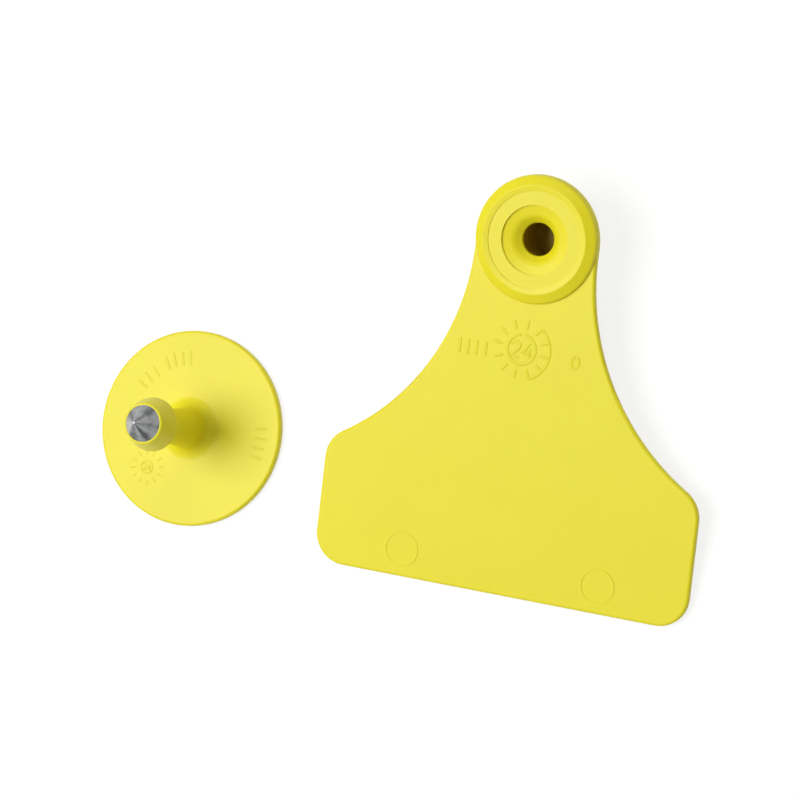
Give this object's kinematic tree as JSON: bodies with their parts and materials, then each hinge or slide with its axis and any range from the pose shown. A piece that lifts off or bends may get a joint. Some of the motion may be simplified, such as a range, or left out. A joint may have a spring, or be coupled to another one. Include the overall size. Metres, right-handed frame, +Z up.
{
  "type": "livestock ear tag",
  "caption": "Yellow moulded livestock ear tag set lying apart: a flared flag panel with a collared bore, and a round button whose hollow stud ends in a metal piercing tip.",
  "frame": {"origin": "middle of the footprint of the two halves as they lie, on the table under them", "axes": "+X across the panel from the button to the panel, +Y from the panel's foot to its collar, +Z up from the table"},
  "size_m": [0.0956, 0.0606, 0.0211],
  "materials": {
    "flag_plastic": "satin moulded flexible plastic, bright yellow",
    "button_plastic": "satin moulded flexible plastic, bright yellow",
    "tip_metal": "dull turned metal"
  },
  "bodies": {
    "root": {"flag_panel": "flag_plastic", "button_stud": "button_plastic", "metal_tip": "tip_metal"}
  },
  "joints": []
}
